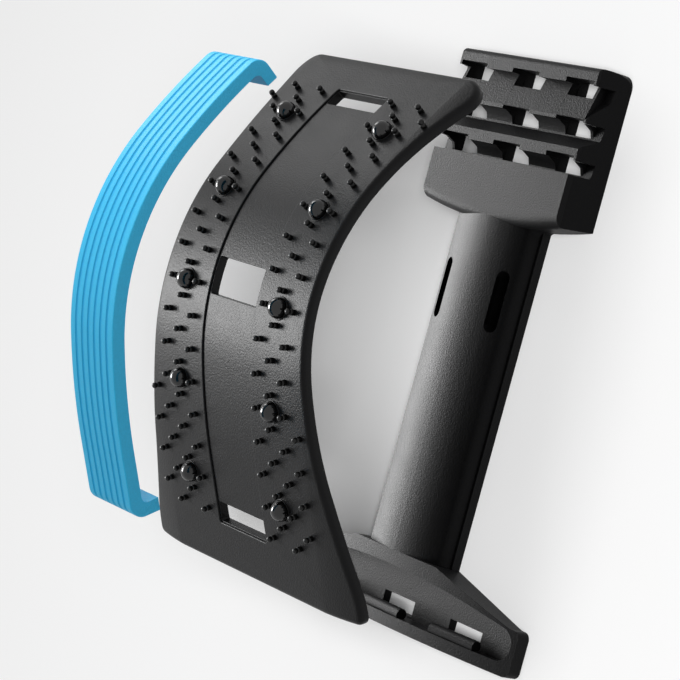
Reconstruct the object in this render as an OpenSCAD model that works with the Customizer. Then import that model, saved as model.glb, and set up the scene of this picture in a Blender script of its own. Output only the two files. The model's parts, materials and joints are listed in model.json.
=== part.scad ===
// Lumbar back stretcher, shown with its pad and plate held off the base.
// All sizes are in millimetres. The base lies on its flat back on the floor.
// X runs along the spine, Y across the body, Z up towards the user.

/* [Layout] */
// Height of the plate above its seated place on the base
plate_lift = 97.5; // [60:0.5:140]
// Height of the foam pad above its seated place on the plate
pad_lift = 90; // [40:1:120]
// Height of the top of the arch above the floor when the plate is seated
arch_top = 98; // [97.5:0.5:110]
// Place of the top of the arch along the spine
arch_x = 6.7; // [5:0.1:9]

/* [Arched plate] */
// Thickness of the plate
plate_t = 6.7; // [5:0.1:7]
// Radius of the crown arc on the front
crown_r = 160.3; // [156:0.1:168]
// Crown arc length from the top of the arch to the neck side
crown_high_len = 75.8; // [72:0.1:80]
// Crown arc length from the top of the arch to the hip side
crown_low_len = 51; // [48:0.1:54]
// Radius of the shoulder arcs that ease the crown into the straight ends
shoulder_r = 430; // [420:5:450]
// Shoulder arc length on the neck side
shoulder_high_len = 62; // [61:0.5:66]
// Shoulder arc length on the hip side
shoulder_low_len = 68; // [64:0.5:72]
// Straight end length on the neck side
end_high_len = 38.3; // [34:0.1:42]
// Straight end length on the hip side
end_low_len = 75; // [70:0.1:82]
// Half width at the waist
waist_w = 83; // [80:0.1:92]
// Hip side end of the waist along the spine
waist_low_x = 30; // [10:1:50]
// Neck side end of the waist along the spine
waist_high_x = 75; // [60:1:80]
// Radius of the side curve towards the hips
flare_low_r = 520; // [400:5:600]
// Turn of the side curve towards the hips
flare_low_deg = 20; // [17:0.1:22]
// Largest half width at the hip end
hip_w = 118.5; // [114:0.5:124]
// Radius of the side curve towards the neck
flare_high_r = 220; // [200:5:260]
// Corner radius at the neck end
corner_high_r = 11; // [8:0.5:26]
// Corner radius at the hip end
corner_low_r = 5; // [3:0.5:15]

/* [Spine channel] */
// Half width of the recessed channel
channel_w = 27.5; // [26.8:0.1:30]
// Depth of the recessed channel
channel_d = 2; // [1:0.1:2.6]
// Half length of the middle window
window_l = 12.2; // [8:0.1:16]
// Half width of the middle window
window_w = 26; // [18:0.5:26]
// Distance of the middle window from the middle bead towards the neck
window_s = 7.9; // [0:0.1:12]
// Inner edge of the neck slot along the spine
slot_high_x = 129.4; // [124:0.1:131]
// Inner edge of the hip slot along the spine
slot_low_x = 131.9; // [124:0.1:136]
// Clearance around the pad legs in the slots
leg_gap = 0.6; // [0.4:0.1:1]

/* [Beads and nubs] */
// Bead spacing along the arch
bead_pitch = 63.4; // [60:0.1:64]
// Distance of the middle beads from the top of the arch along the arch
bead_s = 6.6; // [6:0.1:11]
// Distance of the bead rows from the waist edge
bead_inset = 29.5; // [25:0.5:30]
// Bead radius
bead_r = 6.5; // [5:0.1:6.6]
// Height of the bead centre above the plate
bead_h = 1.5; // [1:0.1:3]
// Depth of the bead seat in the plate
bead_seat = 2.6; // [2:0.1:3.4]
// Running gap round a bead or nub in its seat
seat_gap = 0.15; // [0.1:0.05:0.3]
// Wall of the raised collar round each bead
collar_t = 1.2; // [0.8:0.1:1.4]
// Height of the raised collar round each bead
collar_h = 1; // [0.6:0.1:1.6]
// Nub row spacing along the arch
nub_pitch = 10.6; // [10.4:0.1:11]
// Nub column spacing across the plate
nub_col = 14.5; // [11:0.1:15]
// Radius of the foot of a nub
nub_r = 2.3; // [1.8:0.1:2.4]
// Height of the foot of a nub
nub_foot = 2.2; // [1.6:0.1:2.8]
// Radius of the neck of a nub
nub_neck_r = 1.6; // [1.2:0.1:1.7]
// Radius of the head of a nub
nub_head_r = 2; // [1.8:0.1:2.3]
// Height of a nub above the plate
nub_h = 6; // [5:0.1:8]
// Depth of the nub seat in the plate
nub_seat = 1; // [0.6:0.1:1.4]

/* [Plate tabs and hooks] */
// Half width of each neck end tab
tab_w = 8; // [6:0.5:12]
// Thickness of each neck end tab
tab_t = 6; // [4:0.5:6.5]
// Gap between a neck end tab and the wall that it pushes on
tab_gap = 1.2; // [0.8:0.1:1.5]
// Reach of each neck end tab below the row floor
tab_reach = 1.5; // [0.5:0.1:4]
// Half width of each hip end hook
hook_w = 14; // [8:0.5:18]
// Thickness of each hip end hook
hook_t = 4; // [3:0.5:5]
// Gap between a hip end hook and its grip bar
hook_gap = 0.5; // [0.4:0.1:1]
// Gap between a hip end hook and the trough floor
hook_rise = 3; // [1:0.5:6]

/* [Foam pad] */
// Half width of the pad
pad_w = 26; // [20:0.5:26.4]
// Thickness of the pad
pad_t = 8.6; // [7:0.1:9]
// Gap between the pad and the channel floor when seated
pad_gap = 0.4; // [0.3:0.1:1]
// Number of ribs along the pad
rib_n = 7; // [4:1:9]
// Depth of the grooves between the ribs
rib_d = 2; // [1:0.1:3]
// Width of the grooves between the ribs
groove_w = 2.4; // [1.5:0.1:3.5]
// Rounding where the pad turns down into a leg
turn_r = 6; // [4:0.5:7]
// Length of each leg below the turn
leg_len = 15; // [10:0.5:18]

/* [Base block] */
// Half width of the block at the floor
block_w = 83.5; // [80:0.5:90]
// Slope of the block sides over their height
block_draft = 10; // [6:0.5:11]
// Height of the sloped part of the block sides
draft_z = 14.5; // [10:0.5:16]
// Half width of the raised front face
face_w = 71.5; // [68:0.5:73]
// Height of the foot of the raised front face
face_foot_z = 17.5; // [16:0.5:19]
// Height of the raised front face
face_z = 22.5; // [21.5:0.5:25]
// Height of the bands between the rows
band_z = 20; // [18:0.5:21]
// Neck end of the block
block_x1 = 195.5; // [192:0.5:205]
// Rounding of the neck end edge
rail_r = 4; // [2:0.5:6]
// Hip end of the block at the middle
block_x0 = 85.4; // [78:0.1:90]
// Radius of the curved hip end of the block
chin_r = 402; // [350:1:450]
// Rounding of the upper edge of the hip end
chin_edge_r = 8; // [4:0.5:10]
// Edge of the front face next to the nearest row
face_x1 = 126; // [122:0.5:126]
// Hooking wall of the nearest row
row_x = 135.4; // [134:0.1:137]
// Spacing of the rows
row_pitch = 24.3; // [23:0.1:25]
// Floor height of the rows
row_z = 8; // [6:0.5:10]
// Floor length of the rows
row_floor = 9; // [8:0.1:9.4]
// Land behind the wall of the nearest row
band_near = 7.6; // [4:0.1:9]
// Land behind the wall of the middle row
band_far = 2.3; // [1.5:0.1:6]
// Spacing of the openings across the block
hole_pitch = 55.6; // [50:0.1:56]
// Half width of each opening
hole_w = 14; // [12.5:0.5:18]
// Length of each opening
hole_l = 11; // [10:0.5:12]
// Notch that each opening cuts into its wall
hole_notch = 3; // [1:0.5:4]
// Corner radius of the block in plan
block_corner = 9; // [4:0.5:14]

/* [Column] */
// Half width of the column flange
flange_w = 44.5; // [44:0.5:50]
// Height of the column flange
flange_z = 6.5; // [4:0.5:9]
// Half width of the column above the flange
column_w = 42.5; // [38:0.5:43.5]
// Radius of the crown of the column
column_r = 92; // [80:1:120]
// Height of the crown of the column
column_z = 21.5; // [19:0.5:22]
// Radius of the column shoulders
column_edge_r = 11; // [8:0.5:13]
// Length of the two slots in the column
col_slot_l = 41; // [20:1:50]
// Width of the two slots in the column
col_slot_w = 9.6; // [6:0.1:11]
// Distance of the two slots from the middle
col_slot_y = 29; // [26:0.5:31]
// Place of the two slots along the spine
col_slot_x = 36.5; // [28:0.5:50]
// Place of the cross rib under the column
rib_x = -2; // [-20:1:8]

/* [Lower bar] */
// Hip end of the bar
bar_x0 = -186.5; // [-195:0.5:-184]
// Half width of the bar
bar_w = 127.3; // [125:0.5:140]
// Inner edge of the bar at its ends
bar_x1 = -156.5; // [-158:0.5:-150]
// Corner radius of the bar in plan
bar_corner = 5; // [2:0.5:9]
// Half width of the wide end of the gusset
gusset_w = 118.5; // [100:0.5:122]
// Inner edge of the gusset where it meets the column
gusset_x = -137.8; // [-140:0.1:-125]
// Height of the bar at the middle
bar_z = 21.5; // [20:0.5:23]
// Radius of the crown of the bar across the body
bar_crown_r = 650; // [600:10:900]
// Hip side edge of the trough
trough_x0 = -178.5; // [-181:0.5:-177]
// Neck side edge of the trough at the middle
trough_x1 = -147; // [-150:0.5:-143]
// Half width of the trough
trough_w = 123; // [110:0.5:123.5]
// Radius of the neck side edge of the trough
trough_r = 638; // [550:1:700]
// Floor height of the trough
trough_z = 6; // [5:0.5:7]
// Length of each opening in the trough
bar_hole_l = 10; // [6:0.5:12]
// Half width of each opening in the trough
bar_hole_w = 17; // [12:0.5:18]
// Radius of the rounded grip bars
grip_r = 4; // [3:0.1:4.5]
// Half length of each grip bar
grip_l = 20.5; // [18.5:0.5:26]
// Reach of each grip bar over the trough edge
grip_reach = 2.5; // [1.5:0.1:3]
// Spacing of the grip bars
grip_pitch = 73; // [62:0.5:80]

/* [Shell] */
// Wall of the hollow base
wall = 3; // [2:0.1:3.5]

/* [Hidden] */
$fn = 48;
eps = 0.01;
big = 400;
rad = 180 / PI;
side_n = 5;
row_n = 3;
crown_n = 24;
shoulder_n = 8;
turn_n = 6;
nub_end = 14;
nub_skip = 2;
plate_top = arch_top + plate_lift;
bead_y = waist_w - bead_inset;
// turns of the arch in degrees
hi1 = crown_high_len / crown_r * rad;
lo1 = crown_low_len / crown_r * rad;
hi2 = hi1 + shoulder_high_len / shoulder_r * rad;
lo2 = lo1 + shoulder_low_len / shoulder_r * rad;
u_hi2 = crown_high_len + shoulder_high_len;
u_lo2 = crown_low_len + shoulder_low_len;
u_hi3 = u_hi2 + end_high_len;
u_lo3 = u_lo2 + end_low_len;
// centres of the shoulder arcs, with the top of the arch at height zero
arc_step = crown_r - shoulder_r;
hx = arch_x + arc_step * sin(hi1);
hz = arc_step * cos(hi1) - crown_r;
lx = arch_x - arc_step * sin(lo1);
lz = arc_step * cos(lo1) - crown_r;
// starts of the straight ends
ehx = hx + shoulder_r * sin(hi2);
ehz = hz + shoulder_r * cos(hi2);
elx = lx - shoulder_r * sin(lo2);
elz = lz + shoulder_r * cos(lo2);
// turn, place and height at distance u along the front of the arch, from its top
function turn(u) =
    u > u_hi2 ? hi2 :
    u > crown_high_len ? hi1 + (u - crown_high_len) / shoulder_r * rad :
    u > -crown_low_len ? u / crown_r * rad :
    u > -u_lo2 ? -lo1 + (u + crown_low_len) / shoulder_r * rad : -lo2;
function px(u) =
    u > u_hi2 ? ehx + (u - u_hi2) * cos(hi2) :
    u > crown_high_len ? hx + shoulder_r * sin(turn(u)) :
    u > -crown_low_len ? arch_x + crown_r * sin(turn(u)) :
    u > -u_lo2 ? lx + shoulder_r * sin(turn(u)) : elx + (u + u_lo2) * cos(lo2);
function pz(u) =
    u > u_hi2 ? ehz - (u - u_hi2) * sin(hi2) :
    u > crown_high_len ? hz + shoulder_r * cos(turn(u)) :
    u > -crown_low_len ? crown_r * cos(turn(u)) - crown_r :
    u > -u_lo2 ? lz + shoulder_r * cos(turn(u)) : elz + (u + u_lo2) * sin(lo2);
// side view of a place at distance u along the arch and height h above its front
function at(u, h) = [px(u) + h * sin(turn(u)), pz(u) + h * cos(turn(u))];
// even divisions of each arc, and those of them that lie between u0 and u1
arc_marks = concat([-u_lo3],
    [for (i = [0 : shoulder_n]) -u_lo2 + i / shoulder_n * shoulder_low_len],
    [for (i = [1 : crown_n]) -crown_low_len + i / crown_n * (crown_low_len + crown_high_len)],
    [for (i = [1 : shoulder_n]) crown_high_len + i / shoulder_n * shoulder_high_len],
    [u_hi3]);
function steps(u0, u1) = concat([u0], [for (u = arc_marks) if (u > u0 + eps && u < u1 - eps) u], [u1]);
function reversed(list) = [for (i = [len(list) - 1 : -1 : 0]) list[i]];
// half width of the plate at x, past the waist on either side
flare_x = waist_low_x - flare_low_r * sin(flare_low_deg);
flare_w = waist_w + flare_low_r * (1 - cos(flare_low_deg));
function low_w(x) = min(hip_w, flare_w + (flare_x - x) * tan(flare_low_deg));
// where the side stops flaring
hip_x = flare_x - max(0, hip_w - flare_w) / tan(flare_low_deg);
function high_w(x) = waist_w + flare_high_r - sqrt(pow(flare_high_r, 2) - pow(x - waist_high_x, 2));
plan_x0 = px(-u_lo3) - plate_t;
plan_x1 = px(u_hi3) + plate_t;
end_turn_high = atan((px(u_hi3) - waist_high_x) / (waist_w + flare_high_r - high_w(px(u_hi3))) * cos(hi2));
end_turn_low = low_w(px(-u_lo3)) < hip_w ? atan(tan(flare_low_deg) * cos(lo2)) : 0;
// slots and pad legs
slot_l = pad_t + 2 * leg_gap;
leg_hi = slot_high_x + leg_gap;
leg_lo = slot_low_x + leg_gap;
channel_hi = crown_high_len + shoulder_r * (asin((slot_high_x + slot_l / 2 - hx) / shoulder_r) - hi1) / rad;
channel_lo = u_lo2 + (slot_low_x + slot_l / 2 + elx) / cos(lo2);
pad_h0 = pad_gap - channel_d;
pad_h1 = pad_h0 + pad_t;
groove_pitch = 2 * pad_w / rib_n;
// centres of the rounded pad ends
end_hi_x = leg_hi + pad_t - turn_r;
end_hi_z = hz + sqrt(pow(shoulder_r + pad_h1 - turn_r, 2) - pow(end_hi_x - hx, 2));
end_hi_u = crown_high_len + shoulder_r * (asin((end_hi_x - hx) / (shoulder_r + pad_h1 - turn_r)) - hi1) / rad;
end_lo_x = -leg_lo - pad_t + turn_r;
end_lo_d = (elx - (pad_h1 - turn_r) * sin(lo2) - end_lo_x) / cos(lo2);
end_lo_z = elz - end_lo_d * sin(lo2) + (pad_h1 - turn_r) * cos(lo2);
end_lo_u = -u_lo2 - end_lo_d;
in_hi_u = crown_high_len + shoulder_r * (asin((leg_hi - hx) / (shoulder_r + pad_h0)) - hi1) / rad;
in_lo_u = -u_lo2 - (elx - pad_h0 * sin(lo2) + leg_lo) / cos(lo2);
// plate tabs and hooks, with the top of the arch at height zero
tab_x = row_x + row_pitch - tab_gap - tab_t;
tab_tip = row_z - tab_reach - arch_top;
grip_x = trough_x0 + grip_reach;
hook_x = grip_x + grip_r + hook_gap;
hook_tip = trough_z + hook_rise - arch_top;
// base
chin_x = block_x0 + chin_r;
row_tops = [face_x1, row_x + band_near, row_x + row_pitch + band_far];
column_zc = column_z - column_r;
edge_a = asin((column_w - column_edge_r) / (column_r - column_edge_r));
edge_z = column_zc + (column_r - column_edge_r) * cos(edge_a);
trough_end_y = trough_w - (trough_x1 - trough_x0) / 3;
trough_end_r = (trough_x1 - trough_r + sqrt(pow(trough_r, 2) - pow(trough_end_y, 2)) - trough_x0) / 2;

// Extrudes a side outline across the body, w to each side of the middle
module across(w)
{
    translate([0, w, 0])
        rotate([90, 0, 0])
            linear_extrude(2 * w)
                children();
}

// A layer along the arch, from height h0 to height h1 above its front and from u0 to u1 along it
module layer(h0, h1, w, u0, u1)
{
    across(w)
        polygon(concat([for (u = steps(u0, u1)) at(u, h1)], [for (u = reversed(steps(u0, u1))) at(u, h0)]));
}

// Moves to distance u along the arch and y across it, with Z square to its front
module place(u, y)
{
    translate([px(u), y, pz(u)])
        rotate([0, turn(u), 0])
            children();
}

// Half of the plate outline in plan, without its rounded corners
module half_plan()
{
    difference() {
        polygon([[plan_x0, -1], [plan_x0, low_w(plan_x0)], [hip_x, low_w(hip_x)], [flare_x, low_w(flare_x)],
            [waist_low_x + 1, low_w(flare_x)], [waist_low_x + 1, -1]]);
        translate([waist_low_x, waist_w + flare_low_r]) circle(flare_low_r);
    }
    translate([waist_low_x, -1]) square([waist_high_x - waist_low_x, waist_w + 1]);
    difference() {
        translate([waist_high_x - 1, -1]) square([plan_x1 - waist_high_x + 1, high_w(plan_x1) + 1]);
        translate([waist_high_x, waist_w + flare_high_r]) circle(flare_high_r);
    }
}

// What rounding takes off a corner at the origin whose side flares by angle b
module corner_cut(r, b)
{
    cy = -r * (tan(b) + 1 / cos(b));
    linear_extrude(4 * plate_t, center = true)
        difference() {
            polygon([[-r, cy], [0, cy], [r, cy], [r, r], [-r - r * sin(b), r], [-r - r * sin(b), cy + r * cos(b)]]);
            translate([-r, cy]) circle(r);
        }
}

module plate_corners()
{
    place(u_hi3, high_w(px(u_hi3))) corner_cut(corner_high_r, end_turn_high);
    place(-u_lo3, low_w(px(-u_lo3))) mirror([1, 0]) corner_cut(corner_low_r, end_turn_low);
}

// Distances of the beads and of the nubs in each column, along the arch from its top
function bead_u(i) = (3 - i) * bead_pitch - bead_s;
function nub_steps(column) =
    column == 1 || column == 3 ? [for (k = [-nub_end : nub_skip : nub_end]) k] :
    column == 2 ? [for (k = [1 - nub_end : nub_skip : nub_end - 1]) k] :
    concat([for (k = [1 - nub_end : nub_skip : -nub_end / 2]) k], [nub_end - 1]);
function nub_y(column) = bead_y + (column - 2) * nub_col;

module each_bead(side)
{
    for (i = [1 : side_n])
        place(bead_u(i), side * bead_y)
            children();
}

module each_nub(side, column)
{
    for (k = nub_steps(column))
        place(k * nub_pitch - bead_s, side * nub_y(column))
            children();
}

// Tabs at the neck end that reach into the openings of a row
module neck_tabs()
{
    difference() {
        for (i = [-1 : 1])
            translate([tab_x, i * hole_pitch - tab_w, tab_tip])
                cube([tab_t, 2 * tab_w, pz(u_hi2) - tab_tip]);
        above_plate(ehx, ehz, hi2);
    }
}

// Hooks at the hip end that reach behind the grip bars
module hip_hooks()
{
    difference() {
        for (i = [-1 : 1])
            translate([hook_x, i * grip_pitch - hook_w, hook_tip])
                cube([hook_t, 2 * hook_w, pz(-u_lo2) - hook_tip]);
        above_plate(elx, elz, -lo2);
    }
}

// Everything above the middle of the plate wall along a straight end
module above_plate(x, z, turn_y)
{
    translate([x, 0, z])
        rotate([0, turn_y, 0])
            translate([-big, -big, -plate_t / 2])
                cube(2 * big);
}

module plate_slots()
{
    for (x = [slot_high_x, -slot_low_x - slot_l])
        translate([x, -channel_w, -big / 2])
            cube([slot_l, 2 * channel_w, big]);
    place(window_s - bead_s, 0)
        cube([2 * window_l, 2 * window_w, 4 * plate_t], center = true);
}

module arch_plate()
{
    color("#2b2b2d")
        translate([0, 0, plate_top])
            difference() {
                union() {
                    difference() {
                        intersection() {
                            layer(-plate_t, 0, low_w(plan_x0) + plate_t, -u_lo3, u_hi3);
                            translate([0, 0, -big / 2])
                                linear_extrude(big)
                                    union() {
                                        half_plan();
                                        mirror([0, 1]) half_plan();
                                    }
                        }
                        layer(-channel_d, plate_t, channel_w, -channel_lo, channel_hi);
                        plate_corners();
                        mirror([0, 1, 0]) plate_corners();
                    }
                    for (side = [-1, 1])
                        each_bead(side)
                            translate([0, 0, -bead_seat])
                                cylinder(r = bead_r + seat_gap + collar_t, h = bead_seat + collar_h);
                    neck_tabs();
                    hip_hooks();
                }
                plate_slots();
                for (side = [-1, 1]) {
                    each_bead(side)
                        translate([0, 0, -bead_seat])
                            cylinder(r = bead_r + seat_gap, h = 2 * bead_seat);
                    for (column = [1 : 4])
                        each_nub(side, column)
                            translate([0, 0, -nub_seat])
                                cylinder(r = nub_r + seat_gap, h = 2 * nub_seat);
                }
            }
}

// One massage bead, flat where it rests in its seat
module bead(side, i)
{
    color("#101012")
        translate([0, 0, plate_top])
            place(bead_u(i), side * bead_y)
                intersection() {
                    translate([0, 0, bead_h]) sphere(bead_r);
                    translate([-bead_r, -bead_r, -bead_seat]) cube(2 * bead_r + bead_h);
                }
}

// One column of soft nubs, each with a foot, a neck and a round head
module nubs(side, column)
{
    color("#1a1a1c")
        translate([0, 0, plate_top])
            each_nub(side, column) {
                translate([0, 0, -nub_seat]) cylinder(r = nub_r, h = nub_seat + nub_foot);
                cylinder(r = nub_neck_r, h = nub_h - nub_head_r);
                translate([0, 0, nub_h - nub_head_r]) sphere(nub_head_r);
            }
}

// Side outline of the pad: the arched strip, its rounded turns and its legs
module pad_side()
{
    polygon(concat(
        [for (u = steps(end_lo_u, end_hi_u)) at(u, pad_h1)],
        [for (i = [1 : turn_n]) round_turn(end_hi_x, end_hi_z, turn(end_hi_u), i)],
        [[leg_hi + pad_t, end_hi_z - leg_len], [leg_hi, end_hi_z - leg_len]],
        [for (u = reversed(steps(in_lo_u, in_hi_u))) at(u, pad_h0)],
        [[-leg_lo, end_lo_z - leg_len], [-leg_lo - pad_t, end_lo_z - leg_len]],
        [for (i = [turn_n : -1 : 1]) round_turn(end_lo_x, end_lo_z, -lo2, i)]));
}
function round_turn(x, z, from, i) =
    [x, z] + turn_r * [sin(from + i / turn_n * (sign(from) * 90 - from)),
        cos(from + i / turn_n * (sign(from) * 90 - from))];

module foam_pad()
{
    color("#4db4e0")
        translate([0, 0, plate_top + pad_lift])
            difference() {
                across(pad_w) pad_side();
                for (i = [1 : rib_n - 1])
                    translate([0, i * groove_pitch - pad_w, 0])
                        layer(pad_h1 - rib_d, pad_h1 + rib_d, groove_w / 2, end_lo_u - turn_r, end_hi_u + turn_r);
            }
}

// Outline of the block from the side, with its rows
module block_side()
{
    difference() {
        union() {
            square([block_x1 - rail_r, face_z]);
            square([block_x1, band_z - rail_r]);
            translate([block_x1 - rail_r, band_z - rail_r]) circle(rail_r);
        }
        translate([face_x1, band_z]) square(big);
        for (i = [0 : row_n - 1])
            polygon([[row_x + i * row_pitch - row_floor, row_z + 1], [row_x + i * row_pitch, row_z],
                [row_x + i * row_pitch, big], [row_tops[i], big], [row_tops[i], band_z]]);
    }
}

// Outline of the block from the neck end
module block_end()
{
    for (side = [-1, 1])
        polygon([[0, 0], [side * block_w, 0], [side * (block_w - block_draft), draft_z],
            [side * face_w, face_foot_z], [side * face_w, face_z], [0, face_z]]);
}

// Outline of the block in plan, rounded at its corners
module block_plan()
{
    intersection() {
        union() {
            translate([0, -block_w]) square([block_x1 - block_corner, 2 * block_w]);
            translate([0, block_corner - block_w]) square([block_x1, 2 * (block_w - block_corner)]);
            for (side = [-1, 1])
                translate([block_x1 - block_corner, side * (block_w - block_corner)]) circle(block_corner);
        }
        translate([chin_x, 0]) circle(chin_r + block_draft);
    }
}

// The hip end of the block curves in plan and is rounded towards the front
module chin()
{
    translate([chin_x, 0, 0])
        rotate_extrude($fn = 180) {
            polygon([[0, 0], [chin_r + block_draft, 0], [chin_r, face_z - chin_edge_r],
                [chin_r - chin_edge_r, face_z], [0, face_z]]);
            intersection() {
                translate([chin_r - chin_edge_r, face_z - chin_edge_r]) circle(chin_edge_r);
                square([big + chin_r, big]);
            }
        }
}

module block()
{
    difference() {
        intersection() {
            translate([0, block_w, 0])
                rotate([90, 0, 0])
                    linear_extrude(2 * block_w)
                        block_side();
            rotate([90, 0, 90]) linear_extrude(block_x1) block_end();
            linear_extrude(face_z) block_plan();
            chin();
        }
        for (i = [0 : row_n - 1])
            for (j = [-1 : 1])
                translate([row_x + i * row_pitch + hole_notch - hole_l, j * hole_pitch - hole_w, -eps])
                    cube([hole_l, 2 * hole_w, big]);
        block_pockets();
    }
}

// Hollows behind the face, with a rib between them
module block_pockets()
{
    for (side = [-1, 1])
        translate([block_x0 + chin_edge_r + wall, side * face_w / 2 - face_w / 2 + 2 * wall, -eps])
            cube([face_x1 - 2 * wall - block_x0 - chin_edge_r, face_w - 4 * wall, face_z - wall]);
}

// Section of the column above the floor, shrunk all round by t
module column_section(t)
{
    intersection() {
        union() {
            intersection() {
                translate([0, column_zc]) circle(column_r - t);
                square([2 * column_r * sin(edge_a), big], center = true);
            }
            for (side = [-1, 1])
                translate([side * (column_w - column_edge_r), edge_z]) circle(column_edge_r - t);
            translate([t - column_w, 0]) square([2 * (column_w - t), edge_z]);
        }
        translate([-big / 2, 0]) square(big);
    }
}

module column()
{
    difference() {
        translate([gusset_x, 0, 0])
            rotate([90, 0, 90])
                linear_extrude(block_x0 + chin_edge_r - gusset_x) {
                    column_section(0);
                    translate([-flange_w, 0]) square([2 * flange_w, flange_z]);
                }
        for (side = [-1, 1])
            translate([col_slot_x, side * col_slot_y, 0])
                linear_extrude(big, center = true)
                    col_slot();
    }
}

// Round-ended slot along the column
module col_slot()
{
    square([col_slot_l - col_slot_w, col_slot_w], center = true);
    for (end = [-1, 1])
        translate([end * (col_slot_l - col_slot_w) / 2, 0]) circle(col_slot_w / 2);
}

// Hollow under the column, with its cross rib
module column_pocket()
{
    difference() {
        translate([gusset_x, 0, -eps])
            rotate([90, 0, 90])
                linear_extrude(block_x0 - gusset_x)
                    column_section(wall);
        translate([rib_x - wall / 2, -big / 2, -wall])
            cube([wall, big, big]);
    }
}

// Outline of the lower bar and its gusset in plan
module bar_plan()
{
    translate([bar_x0, bar_corner - bar_w])
        square([bar_x1 - bar_x0, 2 * (bar_w - bar_corner)]);
    translate([bar_x0 + bar_corner, -bar_w])
        square([bar_x1 - bar_x0 - 2 * bar_corner, 2 * bar_w]);
    for (side = [-1, 1])
        for (x = [bar_x0 + bar_corner, bar_x1 - bar_corner])
            translate([x, side * (bar_w - bar_corner)]) circle(bar_corner);
    polygon([[bar_x0, gusset_w], [bar_x1, gusset_w], [gusset_x, flange_w],
        [gusset_x, -flange_w], [bar_x1, -gusset_w], [bar_x0, -gusset_w]]);
}

// Trough that takes the hip end of the plate, in plan
module trough_plan()
{
    intersection() {
        translate([trough_x1 - trough_r, 0]) circle(trough_r);
        translate([trough_x0, -trough_end_y]) square([big, 2 * trough_end_y]);
    }
    for (side = [-1, 1])
        translate([trough_x0 + trough_end_r, side * trough_end_y]) circle(trough_end_r);
}

// Height and slope of the crowned front of the bar at y
function bar_h(y) = bar_z - bar_crown_r + sqrt(pow(bar_crown_r, 2) - pow(y, 2));
function bar_slope(y) = asin(y / bar_crown_r);

module grip_bars()
{
    for (i = [-1 : 1])
        translate([grip_x, i * grip_pitch, bar_h(i * grip_pitch) - grip_r])
            rotate([90 - bar_slope(i * grip_pitch), 0, 0])
                cylinder(r = grip_r, h = 2 * grip_l, center = true);
}

module lower_bar()
{
    difference() {
        intersection() {
            linear_extrude(bar_z) bar_plan();
            translate([bar_x0, 0, bar_z - bar_crown_r])
                rotate([0, 90, 0])
                    cylinder(r = bar_crown_r, h = gusset_x - bar_x0, $fn = 180);
        }
        translate([0, 0, trough_z]) linear_extrude(big) trough_plan();
        for (i = [-1 : 1])
            translate([grip_x - grip_r / 4, i * grip_pitch - bar_hole_w, -eps])
                cube([bar_hole_l, 2 * bar_hole_w, big]);
    }
    grip_bars();
}

module base_frame()
{
    color("#343436")
        difference() {
            union() {
                block();
                column();
                lower_bar();
            }
            column_pocket();
        }
}

base_frame();
arch_plate();
foam_pad();
bead(1, 1);  // bead_left_1
bead(1, 2);  // bead_left_2
bead(1, 3);  // bead_left_3
bead(1, 4);  // bead_left_4
bead(1, 5);  // bead_left_5
bead(-1, 1);  // bead_right_1
bead(-1, 2);  // bead_right_2
bead(-1, 3);  // bead_right_3
bead(-1, 4);  // bead_right_4
bead(-1, 5);  // bead_right_5
nubs(1, 1);  // nubs_left_1
nubs(1, 2);  // nubs_left_2
nubs(1, 3);  // nubs_left_3
nubs(1, 4);  // nubs_left_4
nubs(-1, 1);  // nubs_right_1
nubs(-1, 2);  // nubs_right_2
nubs(-1, 3);  // nubs_right_3
nubs(-1, 4);  // nubs_right_4
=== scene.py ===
"""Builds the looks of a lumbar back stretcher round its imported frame: base, arched plate, beads, nubs and foam pad."""

import json
import math

import bmesh
import bpy
from bpy.props import FloatProperty, FloatVectorProperty, IntProperty, PointerProperty
from mathutils import Matrix, Vector

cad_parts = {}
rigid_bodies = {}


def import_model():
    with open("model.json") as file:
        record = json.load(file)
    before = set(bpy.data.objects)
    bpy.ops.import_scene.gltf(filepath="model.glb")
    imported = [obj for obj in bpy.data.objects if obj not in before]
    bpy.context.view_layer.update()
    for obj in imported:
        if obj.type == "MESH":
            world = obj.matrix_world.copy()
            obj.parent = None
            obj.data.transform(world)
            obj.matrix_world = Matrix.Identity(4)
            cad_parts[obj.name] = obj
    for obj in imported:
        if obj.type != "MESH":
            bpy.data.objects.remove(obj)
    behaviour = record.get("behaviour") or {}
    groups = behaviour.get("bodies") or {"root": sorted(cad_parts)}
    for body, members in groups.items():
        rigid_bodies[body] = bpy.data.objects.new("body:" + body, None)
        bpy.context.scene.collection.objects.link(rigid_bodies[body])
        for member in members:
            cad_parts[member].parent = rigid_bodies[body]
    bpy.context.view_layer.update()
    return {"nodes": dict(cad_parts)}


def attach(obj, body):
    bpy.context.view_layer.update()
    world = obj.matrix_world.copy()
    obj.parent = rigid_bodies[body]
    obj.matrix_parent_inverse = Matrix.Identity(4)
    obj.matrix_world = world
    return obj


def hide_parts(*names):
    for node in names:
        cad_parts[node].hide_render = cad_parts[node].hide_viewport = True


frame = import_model()

bl_info = {
    "name": "Lumbar back stretcher",
    "version": (1, 0, 0),
    "blender": (4, 2, 0),
    "location": "View3D > Sidebar > Stretcher",
    "description": "Makes the moulded base and plate, the beads, the nubs, the foam pad and the studio",
    "category": "Object",
}

MM = 0.001
SIDES = {"left": 1, "right": -1}

# The camera, fitted to the photograph: place in millimetres, image axes and focal length in pixels of its width
CAMERA_PLACE = (52.53, -1332.42, 1073.29)
CAMERA_RIGHT = (0.26156, -0.55793, -0.78759)
CAMERA_DOWN = (-0.96438, -0.18445, -0.18960)
FOCAL_PIXELS, PHOTO_WIDTH = 2600, 680

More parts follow.
